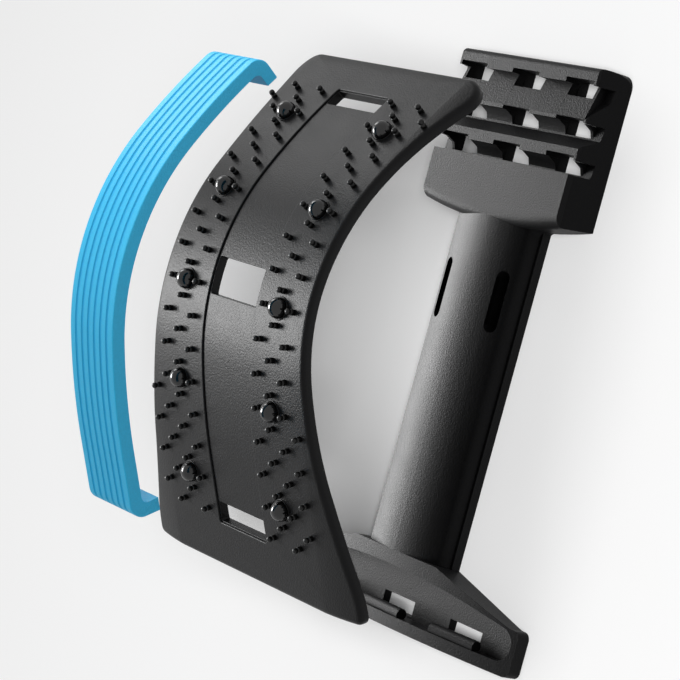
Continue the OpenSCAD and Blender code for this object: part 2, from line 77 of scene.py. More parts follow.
# Softboxes: name, place, target and size in metres, power in watts, and what each lights
SOFTBOXES = (
    ("floor_box", (0.1, -6.0, 5.8), (0, 1.0, 0), (3.6, 3.6), 705, "floor"),
    ("top_floor_box", (0.1, 0.35, 2.3), (0, 0, 0), (1.0, 1.0), 10, "floor"),
    ("plate_box", (-0.24, 1.4, 1.12), (0, 0, 0.15), (0.6, 0.5), 31, "plate"),
    ("hip_box", (-0.45, 1.35, 1.1), (0, 0, 0.15), (0.5, 0.5), 2, "plate"),
    ("neck_box", (0.25, 1.4, 1.1), (0, 0, 0.15), (0.5, 0.5), 4, "plate"),
    ("low_neck_box", (1.0, 1.3, 0.6), (0, 0, 0.1), (0.6, 0.6), 5, "plate"),
    ("pad_box", (1.8, 0.1, 1.2), (0, 0, 0.1), (1.0, 1.0), 26, "pad"),
    ("pad_top_box", (-0.1, 0.3, 2.0), (0, 0, 0.2), (1.0, 1.0), 18, "pad"),
    ("pad_sheen_box", (1.0, 1.4, 0.7), (0, 0, 0.2), (0.5, 0.5), 14, "pad"),
    ("column_box", (0.05, 1.6, 0.42), (0, 0, 0.05), (1.3, 0.7), 70, "base"),
    ("block_box", (0.25, 1.4, 1.1), (0, 0, 0.05), (0.5, 0.5), 3.2, "base"),
    ("gusset_box", (-0.65, 1.4, 1.0), (-0.1, 0, 0.05), (0.4, 0.4), 5, "base"),
)


# Sizes and colours


class ArchSizes(bpy.types.PropertyGroup):
    """The arch that the plate and the pad follow, in millimetres, seen from the side"""

    top_z: FloatProperty(name="Top height", description="Height of the plate's top above the floor", default=195.5)
    top_x: FloatProperty(name="Top place", description="Place of the top along the spine", default=6.7)
    crown_r: FloatProperty(name="Crown radius", description="Radius of the crown arc", default=160.3)
    crown_high: FloatProperty(name="Crown, neck side", description="Arc length to the neck side", default=75.8)
    crown_low: FloatProperty(name="Crown, hip side", description="Arc length to the hip side", default=51)
    shoulder_r: FloatProperty(name="Shoulder radius", description="Radius of the shoulder arcs", default=430)
    shoulder_high: FloatProperty(name="Shoulder, neck side", description="Arc length", default=62)
    shoulder_low: FloatProperty(name="Shoulder, hip side", description="Arc length", default=68)
    end_high: FloatProperty(name="End, neck side", description="Length of the straight end", default=38.3)
    end_low: FloatProperty(name="End, hip side", description="Length of the straight end", default=75)
    bead_s: FloatProperty(name="Middle beads", description="Arc length from the middle beads to the top", default=6.6)


class BaseSizes(bpy.types.PropertyGroup):
    """The base's block and column, in millimetres"""

    edge: FloatProperty(name="Edge", description="Width of the rounded edges", default=0.7)
    row_w: FloatProperty(name="Row", description="Half width of the block's rows", default=67)
    opening_pitch: FloatProperty(name="Opening spacing", description="Spacing of the openings in a row", default=55.6)
    opening_w: FloatProperty(name="Opening", description="Half width of an opening", default=14)
    row_floor: FloatProperty(name="Row floor", description="Height of the floor of the rows", default=7.8)
    ramp_high_x: FloatProperty(name="Ramp top", description="Place of the top of the neck row's ramp", default=162)
    ramp_low_x: FloatProperty(name="Ramp foot", description="Place of the foot of that ramp", default=184.2)
    ramp_high_z: FloatProperty(name="Ramp top height", description="Height of its top", default=20)
    ramp_low_z: FloatProperty(name="Ramp foot height", description="Height of its foot", default=13.5)
    column_r: FloatProperty(name="Column radius", description="Radius of the column's round face", default=92)
    column_z: FloatProperty(name="Column axis", description="Depth of its centre below the floor", default=70.5)
    slot_y: FloatProperty(name="Column slots", description="Distance of the column's slots from the middle", default=29)
    slot_low: FloatProperty(name="Slot, hip end", description="Place of the hip end of the slots", default=16)
    slot_high: FloatProperty(name="Slot, neck end", description="Place of the neck end of the slots", default=57)
    slot_w: FloatProperty(name="Slot", description="Half width of a slot", default=4.8)
    sleeve: FloatProperty(name="Sleeve", description="Thickness of the walls that line the slots", default=1.4)
    chin_x: FloatProperty(name="Chin centre", description="Centre of the block's curved hip end", default=487.4)
    chin_r: FloatProperty(name="Chin radius", description="Radius of the block's curved hip end", default=402)
    chin_z: FloatProperty(name="Chin height", description="Height of the upright foot of that end", default=14.5)
    chin_back: FloatProperty(name="Chin foot", description="How far the foot is set back to stand upright", default=10)
    hollow_r: FloatProperty(name="Hollow", description="Radius of the hollow between column and block", default=6)


class PlateSizes(bpy.types.PropertyGroup):
    """The plate's outline and openings, in millimetres"""

    thick: FloatProperty(name="Thickness", description="Thickness of the plate", default=6.7)
    waist: FloatProperty(name="Waist", description="Half width at the waist", default=83)
    waist_low: FloatProperty(name="Waist, hip side", description="Where the waist starts to widen", default=30)
    waist_high: FloatProperty(name="Waist, neck side", description="Where the waist starts to widen", default=75)
    flare_low_r: FloatProperty(name="Hip flare", description="Radius of the side towards the hips", default=520)
    flare_low_deg: FloatProperty(name="Hip turn", description="Turn of that side, in degrees", default=20)
    hip_w: FloatProperty(name="Hip width", description="Largest half width at the hips", default=118.5)
    flare_high_r: FloatProperty(name="Neck flare", description="Radius of the side towards the neck", default=220)
    corner_high: FloatProperty(name="Neck corner", description="Corner radius at the neck end", default=15)
    corner_low: FloatProperty(name="Hip corner", description="Corner radius at the hip end", default=5)
    rim: FloatProperty(name="Rim", description="Radius of the rounded rim", default=3.2)
    channel_w: FloatProperty(name="Channel", description="Half width of the spine channel", default=27.5)
    channel_d: FloatProperty(name="Channel depth", description="Depth of the spine channel", default=1.1)
    channel_low: FloatProperty(name="Channel, hip end", description="Arc length to its hip end", default=162.1)
    channel_high: FloatProperty(name="Channel, neck end", description="Arc length to its neck end", default=147.5)
    window_low: FloatProperty(name="Window, hip end", description="Arc length to its hip end", default=10.9)
    window_high: FloatProperty(name="Window, neck end", description="Arc length to its neck end", default=13.5)
    window_w: FloatProperty(name="Window", description="Half width of the window", default=26.2)
    slot_w: FloatProperty(name="Pad slots", description="Half width of the pad's slots", default=26.4)
    neck_slot_from: FloatProperty(name="Neck slot start", description="Arc length to its inner edge", default=134.7)
    neck_slot_to: FloatProperty(name="Neck slot end", description="Arc length to its outer edge", default=146.6)
    hip_slot_from: FloatProperty(name="Hip slot start", description="Arc length to its inner edge", default=147.8)
    hip_slot_to: FloatProperty(name="Hip slot end", description="Arc length to its outer edge", default=161.2)
    tab_w: FloatProperty(name="Tab", description="Half width of a tab at the neck end", default=8)
    hook_pitch: FloatProperty(name="Hook spacing", description="Spacing of the hooks at the hip end", default=73)
    hook_w: FloatProperty(name="Hook", description="Half width of a hook", default=14)
    sag_from: FloatProperty(name="Wing start", description="Where the wings begin to droop", default=72)
    sag_end: FloatProperty(name="Full droop", description="Arc length where the droop is full", default=120)
    sag_w: FloatProperty(name="Neck width", description="Half width of the neck end for the droop", default=100)
    sag_high: FloatProperty(name="Neck wing droop", description="Droop of the neck corners", default=4.5)
    sag_low: FloatProperty(name="Hip wing droop", description="Droop of the hip corners", default=4.5)


class TrimSizes(bpy.types.PropertyGroup):
    """Beads and nubs, in millimetres"""

    bead_r: FloatProperty(name="Bead radius", description="Radius of a massage bead", default=6.5)
    bead_h: FloatProperty(name="Bead height", description="Height of a bead's centre above the plate", default=1.5)
    bead_y: FloatProperty(name="Bead rows", description="Distance of the bead rows from the middle", default=53.5)
    bead_pitch: FloatProperty(name="Bead spacing", description="Spacing of the beads along the arch", default=63.4)
    nub_pitch: FloatProperty(name="Nub rows", description="Spacing of the nub rows along the arch", default=10.6)
    nub_col: FloatProperty(name="Nub columns", description="Spacing of the nub columns", default=14.5)
    nub_r: FloatProperty(name="Nub radius", description="Radius of a nub's foot", default=1.9)
    nub_h: FloatProperty(name="Nub height", description="Height of a nub above the plate", default=5.7)


class PadSizes(bpy.types.PropertyGroup):
    """The foam pad, in millimetres"""

    lift: FloatProperty(name="Lift", description="Height of the pad above its seat", default=90)
    half_w: FloatProperty(name="Half width", description="Half width of the pad", default=26)
    thick: FloatProperty(name="Thickness", description="Thickness of the pad", default=8.2)
    low_h: FloatProperty(name="Back height", description="Height of the pad's back above the plate", default=-0.8)
    ribs: IntProperty(name="Ribs", description="Number of ribs", default=7)
    rib_d: FloatProperty(name="Groove depth", description="Depth of the grooves between the ribs", default=0.9)
    groove_w: FloatProperty(name="Groove width", description="Width of a groove", default=2.4)
    leg_high: FloatProperty(name="Neck leg", description="Outer face of the neck leg, along the arch", default=145.8)
    leg_low: FloatProperty(name="Hip leg", description="Outer face of the hip leg, along the arch", default=159.8)


class Finishes(bpy.types.PropertyGroup):
    """Colours and shine of the finishes, and the strength of the room's light"""

    shell: FloatVectorProperty(
        name="Base", description="Textured black plastic of the base", subtype="COLOR", default=(0.008, 0.008, 0.0085)
    )
    plate: FloatVectorProperty(
        name="Plate", description="Textured black plastic of the plate", subtype="COLOR", default=(0.006, 0.006, 0.0065)
    )
    bead: FloatVectorProperty(
        name="Beads", description="Glossy black plastic", subtype="COLOR", default=(0.004, 0.004, 0.0045)
    )
    nub: FloatVectorProperty(
        name="Nubs", description="Soft black rubber", subtype="COLOR", default=(0.005, 0.005, 0.005)
    )
    plate_shine: FloatProperty(
        name="Plate shine", description="Mirror strength of the plate", subtype="FACTOR", default=0.12
    )
    base_shine: FloatProperty(
        name="Base shine", description="Mirror strength of the base", subtype="FACTOR", default=0.08
    )
    nub_shine: FloatProperty(
        name="Nub shine", description="Mirror strength of the nubs", subtype="FACTOR", default=0.28
    )
    foam_shine: FloatProperty(
        name="Foam shine", description="Mirror strength of the foam", subtype="FACTOR", default=0.3
    )
    texture: FloatProperty(
        name="Texture", description="Strength of the mould's fine texture", subtype="FACTOR", default=0.4
    )
    foam: FloatVectorProperty(
        name="Foam", description="Blue closed-cell foam", subtype="COLOR", default=(0.03, 0.46, 0.77)
    )
    # Painted shade: a darker blue painted into the pad's grooves in place of the shade that falls in them
    groove: FloatVectorProperty(
        name="Grooves", description="Foam in the shade of the grooves", subtype="COLOR", default=(0.025, 0.4, 0.71)
    )
    paper: FloatVectorProperty(
        name="Backdrop", description="White studio paper", subtype="COLOR", default=(0.93, 0.93, 0.93)
    )
    room_light: FloatProperty(name="Room light", description="Strength of the even light", default=0.18)
    room_white: FloatProperty(name="Room white", description="Strength that camera and reflections see", default=0.9)


def arch_sizes():
    return bpy.context.scene.stretcher_arch


def trim_sizes():
    return bpy.context.scene.stretcher_trim


def base_sizes():
    return bpy.context.scene.stretcher_base


def plate_sizes():
    return bpy.context.scene.stretcher_plate


def pad_sizes():
    return bpy.context.scene.stretcher_pad


def finishes():
    return bpy.context.scene.stretcher_finishes


# The arch


def arch_at(u):
    """Place (x, z) in millimetres and turn in radians at arc length u from the top of the arch."""
    a = arch_sizes()
    high, low = a.crown_high / a.crown_r, a.crown_low / a.crown_r
    if -a.crown_low <= u <= a.crown_high:
        turn = u / a.crown_r
        return a.top_x + a.crown_r * math.sin(turn), a.crown_r * (math.cos(turn) - 1), turn
    side = 1 if u > 0 else -1
    edge, bend = (high, a.shoulder_high) if side > 0 else (low, a.shoulder_low)
    past = side * u - (a.crown_high if side > 0 else a.crown_low)
    turn = edge + min(past, bend) / a.shoulder_r
    step = a.crown_r - a.shoulder_r
    x = step * math.sin(edge) + a.shoulder_r * math.sin(turn)
    z = step * math.cos(edge) - a.crown_r + a.shoulder_r * math.cos(turn)
    straight = max(past - bend, 0)
    x += straight * math.cos(turn)
    z -= straight * math.sin(turn)
    return a.top_x + side * x, z, side * turn


def droop(u, y):
    """How far the plate's wings bend away at (u, y)."""
    p = plate_sizes()
    along = min(abs(u) / p.sag_end, 1) ** 1.5
    depth, reach = (p.sag_high, p.sag_w - p.sag_from) if u > 0 else (p.sag_low, p.hip_w - p.sag_from)
    return depth * along * (max(abs(y) - p.sag_from, 0) / reach) ** 2


def on_arch(u, y, h, lift=0.0):
    """A point at arc length u, across at y and at height h above the plate's front, in metres."""
    x, z, turn = arch_at(u)
    h -= droop(u, y)
    return Vector((x + h * math.sin(turn), y, z + h * math.cos(turn) + arch_sizes().top_z + lift)) * MM


def arch_matrix(u, y):
    """Places a piece modelled round its foot, with +Z square to the plate, at (u, y) on the plate."""
    turn = arch_at(u)[2]
    return Matrix.Translation(on_arch(u, y, 0)) @ Matrix.Rotation(turn, 4, "Y") @ Matrix.Scale(MM, 4)


# Meshes


def new_piece(name, mesh, body, nodes, material):
    """A piece that rides on a body, stands for CAD nodes and takes the material it is given."""
    if not mesh.polygons:
        raise RuntimeError(f"{name} has no faces")
    obj = bpy.data.objects.new(name, mesh)
    bpy.context.scene.collection.objects.link(obj)
    mesh.materials.clear()
    mesh.materials.append(material)
    for face in mesh.polygons:
        face.use_smooth = True
    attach(obj, body)
    if nodes:
        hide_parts(*nodes)
    return obj


def with_modifiers(obj):
    """The mesh that an object's modifiers make, once the object is gone."""
    bpy.context.view_layer.update()
    graph = bpy.context.evaluated_depsgraph_get()
    done = bpy.data.meshes.new_from_object(obj.evaluated_get(graph), preserve_all_data_layers=True, depsgraph=graph)
    bpy.data.objects.remove(obj)
    return done


def crisp(node, width, segments, reshape):
    """A reshaped copy of a CAD node's form with small rounded edges."""
    bm = bmesh.new()
    bm.from_mesh(frame["nodes"][node].data)
    bmesh.ops.remove_doubles(bm, verts=bm.verts, dist=0.00001)
    bmesh.ops.dissolve_limit(
        bm, angle_limit=math.radians(0.6), verts=bm.verts, edges=bm.edges, use_dissolve_boundaries=False
    )
    for vert in bm.verts:
        reshape(vert.co)
    mesh = finish_bmesh(bm, node + "_form")
    obj = bpy.data.objects.new(node + "_form", mesh)
    bpy.context.scene.collection.objects.link(obj)
    edge = obj.modifiers.new("edge", "BEVEL")
    edge.width = width * MM
    edge.segments = segments
    edge.limit_method = "ANGLE"
    edge.angle_limit = math.radians(28)
    edge.use_clamp_overlap = True
    edge.miter_outer = "MITER_ARC"
    return eased(with_modifiers(obj))


def eased(mesh):
    """Smooth shading that keeps flat faces flat beside small rounded edges."""
    mesh.shade_smooth()
    mesh.set_sharp_from_angle(angle=math.radians(50))
    obj = bpy.data.objects.new("eased", mesh)
    bpy.context.scene.collection.objects.link(obj)
    weighted = obj.modifiers.new("weighted", "WEIGHTED_NORMAL")
    weighted.keep_sharp = True
    return with_modifiers(obj)


def rounded_corner(before, corner, after, radius, steps=6):
    """Points of the arc that rounds a corner between two straight sides."""
    a, b = (before - corner).normalized(), (after - corner).normalized()
    half = math.acos(max(-1.0, min(1.0, a.dot(b)))) / 2
    centre = corner + (a + b).normalized() * radius / math.sin(half)
    start = corner + a * radius / math.tan(half) - centre
    stop = corner + b * radius / math.tan(half) - centre
    turn = math.atan2(start.x * stop.y - start.y * stop.x, start.dot(stop))
    return [centre + Matrix.Rotation(turn * i / steps, 2) @ start for i in range(steps + 1)]


def rounded_box(u0, u1, w, radius, steps=5):
    """A loop of points round a box in the flat plate, with rounded corners."""
    corners = [Vector(c) for c in ((u0, -w), (u0, w), (u1, w), (u1, -w))]
    loop = []
    for i, corner in enumerate(corners):
        loop += rounded_corner(corners[i - 1], corner, corners[(i + 1) % 4], radius, steps)
    return loop


def inset(loop, distance):
    """The loop moved inwards all round."""
    moved = []
    for i, point in enumerate(loop):
        back = (point - loop[i - 1]).normalized()
        ahead = (loop[(i + 1) % len(loop)] - point).normalized()
        along = (back + ahead).normalized()
        inward = Vector((along.y, -along.x))
        moved.append(point + inward * distance / max(along.dot(ahead), 0.5))
    return moved


def ring(bm, loop, height):
    """Points of a loop at one height."""
    return [bm.verts.new((point.x, point.y, height)) for point in loop]


def bridge(bm, upper, lower):
    """Faces between two rings of as many points."""
    for i in range(len(upper)):
        j = (i + 1) % len(upper)
        bm.faces.new((upper[i], upper[j], lower[j], lower[i]))


def bridge_all(bm, rings):
    for upper, lower in zip(rings, rings[1:]):
        bridge(bm, upper, lower)


def fill_between(bm, *rings):
    """Fills the flat face inside the first ring and outside the others."""
    edges = []
    for verts in rings:
        for i, vert in enumerate(verts):
            pair = (vert, verts[(i + 1) % len(verts)])
            edges.append(bm.edges.get(pair) or bm.edges.new(pair))
    bmesh.ops.triangle_fill(bm, edges=edges, use_beauty=False, use_dissolve=False)


def cut(bm, axis, places):
    """Cuts everything along lines so that it can be bent."""
    for place in places:
        normal = Vector((0, 0, 0))
        normal[axis] = 1
        geometry = bm.verts[:] + bm.edges[:] + bm.faces[:]
        bmesh.ops.bisect_plane(bm, geom=geometry, dist=0.0001, plane_co=normal * place, plane_no=normal)


def box(bm, low, high, place):
    """A block with small chamfers on every edge."""
    made = bmesh.ops.create_cube(bm, size=1)["verts"]
    for vert in made:
        vert.co = Vector(high[i] if vert.co[i] > 0 else low[i] for i in range(3))
    edges = list({edge for vert in made for edge in vert.link_edges})
    chamfers = bmesh.ops.bevel(bm, geom=edges, offset=0.8, segments=2, profile=0.5, affect="EDGES")["verts"]
    for vert in {vert for vert in made if vert.is_valid} | set(chamfers):
        vert.co = place @ vert.co


def lathe(bm, profile, segments, place):
    """Turns a profile of (radius, height) points round Z, closed at both ends where the radius is nothing."""
    rings = []
    for radius, height in profile:
        if radius == 0:
            rings.append([bm.verts.new(place @ Vector((0, 0, height)))])
            continue
        turns = (2 * math.pi * i / segments for i in range(segments))
        rings.append(
            [bm.verts.new(place @ Vector((radius * math.cos(t), radius * math.sin(t), height))) for t in turns]
        )
    for low, high in zip(rings, rings[1:]):
        for i in range(segments):
            j = (i + 1) % segments
            if len(low) == 1:
                bm.faces.new((low[0], high[j], high[i]))
            elif len(high) == 1:
                bm.faces.new((low[i], low[j], high[0]))
            else:
                bm.faces.new((low[i], low[j], high[j], high[i]))


def finish_bmesh(bm, name):
    """A mesh with all its faces turned outwards."""
    bmesh.ops.recalc_face_normals(bm, faces=bm.faces)
    mesh = bpy.data.meshes.new(name)
    bm.to_mesh(mesh)
    bm.free()
    return mesh


# Shader building


class Value:
    """A number socket, for shader maths written as Python expressions"""

    def __init__(self, build, socket):
        self.build, self.socket = build, socket

    def _math(self, operation, *inputs):
        return Value(self.build, self.build.node("ShaderNodeMath", {"operation": operation}, dict(enumerate(inputs))))

    def __add__(self, other):
        return self._math("ADD", self, other)

    def __radd__(self, other):
        return self._math("ADD", other, self)

    def __sub__(self, other):
        return self._math("SUBTRACT", self, other)

    def __rsub__(self, other):
        return self._math("SUBTRACT", other, self)

    def __mul__(self, other):
        return self._math("MULTIPLY", self, other)

    def __rmul__(self, other):
        return self._math("MULTIPLY", other, self)

    def clamped(self):
        return self._math("MAXIMUM", self._math("MINIMUM", self, 1.0), 0.0)


class Build:
    """Adds nodes to one material or world"""

    def __init__(self, owner):
        owner.use_nodes = True
        self.owner, self.tree = owner, owner.node_tree
        self.tree.nodes.clear()

    def node(self, kind, settings=None, inputs=None, output=0):
        made = self.tree.nodes.new(kind)
        for key, value in (settings or {}).items():
            setattr(made, key, value)
        for key, value in (inputs or {}).items():
            value = value.socket if isinstance(value, Value) else value
            if isinstance(value, bpy.types.NodeSocket):
                self.tree.links.new(value, made.inputs[key])
            else:
                made.inputs[key].default_value = value
        return made.outputs[output] if len(made.outputs) else None

    def value(self, *args, **kwargs):
        return Value(self, self.node(*args, **kwargs))

    def mix(self, factor, a, b):
        return self.node("ShaderNodeMix", {"data_type": "RGBA"}, {0: factor, 6: a, 7: b}, output=2)

    def noise(self, scale, detail):
        return self.value("ShaderNodeTexNoise", {}, {"Scale": scale, "Detail": detail, "Vector": self.place()})

    def bump(self, strength, distance, height):
        return self.node("ShaderNodeBump", {}, {"Strength": strength, "Distance": distance, "Height": height})

    def place(self):
        return self.node("ShaderNodeTexCoord", {}, {}, output="Object")

    def surface(self, **inputs):
        shader = self.node("ShaderNodeBsdfPrincipled", {}, {k.replace("_", " "): v for k, v in inputs.items()})
        self.node("ShaderNodeOutputMaterial", {}, {0: shader})
        return self.owner


def rgba(colour, factor=1.0):
    """A colour made lighter or darker, as a socket takes it."""
    return (*(c * factor for c in colour), 1)


def new_material(name):
    return Build(bpy.data.materials.new(name))


def textured_plastic(name, colour, roughness, shine):
    """Black moulded plastic with the fine texture of an etched mould."""
    b = new_material(name)
    fine = b.noise(850, 3.0)
    broad = b.noise(45, 3.0)
    bump = b.bump(finishes().texture, 0.0006, fine)
    shade = b.mix(broad, rgba(colour, 0.85), rgba(colour, 1.2))
    rough = (broad * 0.08 + (roughness - 0.04)).clamped()
    return b.surface(Base_Color=shade, Roughness=rough, Normal=bump, Specular_IOR_Level=shine)


def gloss_plastic():
    """Polished black plastic of the massage beads."""
    b = new_material("polished_bead")
    smear = b.noise(160, 2.0)
    rough = smear * 0.08 + 0.08
    return b.surface(Base_Color=rgba(finishes().bead), Roughness=rough)


def nub_rubber():
    """Soft black rubber with a slight sheen."""
    b = new_material("nub_rubber")
    smear = b.noise(300, 2.0)
    rough = smear * 0.1 + 0.3
    return b.surface(Base_Color=rgba(finishes().nub), Roughness=rough, Specular_IOR_Level=finishes().nub_shine)


def pad_foam():
    """Blue closed-cell foam: fine cells all over, with painted shade, a deeper blue, in the grooves."""
    b = new_material("pad_foam")
    cells = b.value("ShaderNodeTexVoronoi", {}, {"Vector": b.place(), "Scale": 1500})
    grain = b.noise(900, 3.0)
    depth = b.value("ShaderNodeAttribute", {"attribute_name": "groove"}, {}, output="Fac")
    skin = b.mix((grain * 1.2 - 0.1).clamped(), rgba(finishes().foam, 0.9), rgba(finishes().foam, 1.06))
    # Painted shade: each point's groove depth mixes in the darker groove colour
    colour = b.mix(depth, skin, rgba(finishes().groove))
    height = cells * 0.6 + grain * 0.4
    bump = b.bump(0.5, 0.0005, height)
    rough = (grain * 0.1 + 0.45).clamped()
    return b.surface(Base_Color=colour, Roughness=rough, Normal=bump, Specular_IOR_Level=finishes().foam_shine)


# Pieces


def prism(bm, outline, y0, y1):
    """A solid with a side outline of (x, z) points from y0 to y1, in millimetres."""
    ends = [[bm.verts.new(Vector((x, y, z)) * MM) for x, z in outline] for y in (y0, y1)]
    bridge(bm, *ends)
    for end in ends:
        bm.faces.new(end)


def row_ramps(bm):
    """Ramps in the rows, beside the openings that take the plate's tabs."""
    b = base_sizes()
    near, far = b.opening_pitch - b.opening_w, b.opening_pitch + b.opening_w
    floor, high_x, low_x = b.row_floor, b.ramp_high_x, b.ramp_low_x
    neck_row = [(high_x, floor), (high_x, b.ramp_high_z), (low_x, b.ramp_low_z), (low_x, floor)]
    for y0, y1 in ((-b.row_w, -far), (-near, -b.opening_w), (b.opening_w, near), (far, b.row_w)):
        prism(bm, neck_row, y0, y1)
        for foot in (126.6, 150.9):
            back = foot + 8.7
            prism(bm, [(foot, floor), (foot, 8.2), (foot + 5.5, 10.5), (back, 17), (back, floor)], y0, y1)
    shelf_x = 176
    shelf = [(high_x, floor), (high_x, 19.95), (shelf_x, 15.85), (shelf_x, floor)]
    prism(bm, shelf, -b.row_w, b.row_w)


def column_top(y):
    """Height of the column's surface."""
    b = base_sizes()
    return math.sqrt(b.column_r**2 - y**2) - b.column_z


def slot_sleeves(bm):
    """Walls that line the two slots of the column."""
    b = base_sizes()
    below, foot = 0.35, 2
    for side in SIDES.values():
        slot = rounded_box(b.slot_low, b.slot_high, b.slot_w, b.slot_w - 0.1, 8)
        loop = [Vector((point.x, point.y + side * b.slot_y)) for point in slot]
        inner, outer = inset(loop, 0), inset(loop, -b.sleeve)
        rings = []
        for edge in (inner, outer):
            rings.append([bm.verts.new((p.x * MM, p.y * MM, (column_top(p.y) - below) * MM)) for p in edge])
        for edge in (outer, inner):
            rings.append([bm.verts.new((p.x * MM, p.y * MM, foot * MM)) for p in edge])
        bridge_all(bm, rings + [rings[0]])


def upright_chin(place):
    """Sets the foot of the block's hip end upright below its top edge."""
    b = base_sizes()
    if 70 * MM < place.x < 95.5 * MM and place.z < b.chin_z * MM:
        place.x += b.chin_back * MM * (1 - place.z / (b.chin_z * MM))


def chin_x(y):
    """Where the block's hip end stands."""
    b = base_sizes()
    return b.chin_x - math.sqrt(b.chin_r**2 - y**2)


def column_fillets(bm):
    """Rounded hollows where the column meets the block, on both sides."""
    corner_y, corner_z, corner_r = 31.5, 4.1, 11
    side_y, block_z = corner_y + corner_r, 15
    around = []
    for i in range(13):
        turn = math.radians(32 + 58 * i / 12)
        out_y, out_z = math.sin(turn), math.cos(turn)
        around.append((corner_y + corner_r * out_y, corner_z + corner_r * out_z, out_y, out_z))
    around.append((side_y, 0, 1, 0))
    steps = 8
    for side in (-1, 1):
        rows = []
        for y, z, out_y, out_z in around:
            size = min(base_sizes().hollow_r, max(block_z - z, 0.5) * 0.6)
            row = []
            for j in range(steps + 1):
                turn = math.pi / 2 * j / steps
                off = size * (1 - math.cos(turn))
                back = size * (1 - math.sin(turn))
                py, pz = y + out_y * off, z + out_z * off
                row.append(bm.verts.new(Vector((chin_x(py) + 0.2 - back, side * py, max(pz, 0.05))) * MM))
            rows.append(row)
        for upper, lower in zip(rows, rows[1:]):
            for j in range(steps):
                bm.faces.new((upper[j], upper[j + 1], lower[j + 1], lower[j]))


class STRETCHER_OT_base(bpy.types.Operator):
    """Make the moulded base: slotted block, column and lower bar"""

    bl_idname = "stretcher.base"
    bl_label = "Base"

    def execute(self, context):
        bm = bmesh.new()
        row_ramps(bm)
        slot_sleeves(bm)
        column_fillets(bm)
        trim_mesh = finish_bmesh(bm, "base_trim")
        material = textured_plastic("base_plastic", finishes().shell, 0.48, finishes().base_shine)
        shell = crisp("base_frame", base_sizes().edge, 2, upright_chin)
        new_piece("base_shell", shell, "base", ["base_frame"], material)
        new_piece("base_trim", eased(trim_mesh), "base", [], material)
        return {"FINISHED"}


def half_width(u):
    """Half width of the plate at arc length u."""
    p = plate_sizes()
    x = arch_at(u)[0]
    if x > p.waist_high:
        return p.waist + p.flare_high_r - math.sqrt(p.flare_high_r**2 - (x - p.waist_high) ** 2)
    past = max(p.waist_low - x, 0)
    turn = math.radians(p.flare_low_deg)
    bend = min(past, p.flare_low_r * math.sin(turn))
    wide = p.waist + p.flare_low_r - math.sqrt(p.flare_low_r**2 - bend**2) + (past - bend) * math.tan(turn)
    room, blend = p.hip_w - wide, 3
    return p.hip_w - (room if room > blend else max(room + blend, 0) ** 2 / (4 * blend))


def plate_ends():
    """Arc lengths of the hip end and of the neck end."""
    a = arch_sizes()
    return -(a.crown_low + a.shoulder_low + a.end_low), a.crown_high + a.shoulder_high + a.end_high


def plate_outline():
    """The flat plate's outline as (arc length, across) points."""
    p = plate_sizes()
    low, high = plate_ends()
    hip = rounded_corner(
        Vector((low, 0)), Vector((low, half_width(low))), Vector((low + 10, half_width(low + 10))), p.corner_low
    )
    before = high - 17
    neck = rounded_corner(
        Vector((before, half_width(before))), Vector((high, half_width(high))), Vector((high, 0)), p.corner_high, 10
    )
    count = int((neck[0].x - hip[-1].x) / 2.5)
    span = (neck[0].x - hip[-1].x) / count
    side = [Vector((hip[-1].x + i * span, half_width(hip[-1].x + i * span))) for i in range(1, count)]
    left = hip + side + neck
    return left + [Vector((point.x, -point.y)) for point in reversed(left)]


def rounded_edge(radius, steps=5):
    """Inset and depth of the points on a quarter round edge, from the top face to the side."""
    turns = [math.pi / 2 * i / steps for i in range(steps + 1)]
    return [(radius * (1 - math.sin(turn)), radius * (1 - math.cos(turn))) for turn in turns]


def plate_openings():
    """Loops of the window and of the two pad slots in the channel's floor."""
    p = plate_sizes()
    window = rounded_box(-p.window_low, p.window_high, p.window_w, 1.5)
    neck = rounded_box(p.neck_slot_from, p.neck_slot_to, p.slot_w, 1.2)
    hip = rounded_box(-p.hip_slot_to, -p.hip_slot_from, p.slot_w, 1.2)
    return [window, neck, hip]


def plate_sheet(bm):
    """The bent sheet with its rim, channel, window and slots."""
    p = plate_sizes()
    outline = plate_outline()
    rim = [ring(bm, inset(outline, p.rim + 0.6), 0)]
    rim += [ring(bm, inset(outline, i), -d) for i, d in rounded_edge(p.rim)]
    rim += [ring(bm, inset(outline, i), d - p.thick) for i, d in reversed(rounded_edge(1.2, 3))]
    bridge_all(bm, rim)
    channel = rounded_box(-p.channel_low, p.channel_high, p.channel_w, 2)
    lip = [ring(bm, inset(channel, -1.3), 0)]
    lip += [ring(bm, inset(channel, -i), -d) for i, d in rounded_edge(0.7, 3)]
    lip += [ring(bm, channel, -p.channel_d), ring(bm, inset(channel, 0.35), -p.channel_d)]
    bridge_all(bm, lip)
    fill_between(bm, rim[0], lip[0])
    tops, bottoms = [], []
    for loop in plate_openings():
        edge = [ring(bm, inset(loop, -0.45), -p.channel_d)]
        edge += [ring(bm, inset(loop, -i), -d - p.channel_d) for i, d in rounded_edge(0.25, 2)]
        edge += [ring(bm, loop, -p.thick)]
        bridge_all(bm, edge)
        tops.append(edge[0])
        bottoms.append(edge[-1])
    fill_between(bm, lip[-1], *tops)
    fill_between(bm, rim[-1], *bottoms)
    low, high = plate_ends()
    cut(bm, 0, [low + i * 3 for i in range(1, int((high - low) / 3) + 1)])
    cut(bm, 1, [side * y for side in (-1, 1) for y in range(84, 119, 4)])
    for vert in bm.verts:
        vert.co = on_arch(*vert.co)


def bead_collars(bm):
    """Raised rings that hold the massage beads."""
    r = trim_sizes().bead_r
    collar = [(r + 0.15, -0.4), (r + 0.15, 0.3), (r + 0.3, 0.45), (r + 0.7, 0.45), (r + 0.9, 0.25), (r + 1, -0.4)]
    for side in SIDES:
        for _, u, y in bead_places(side):
            lathe(bm, collar, 40, arch_matrix(u, y))


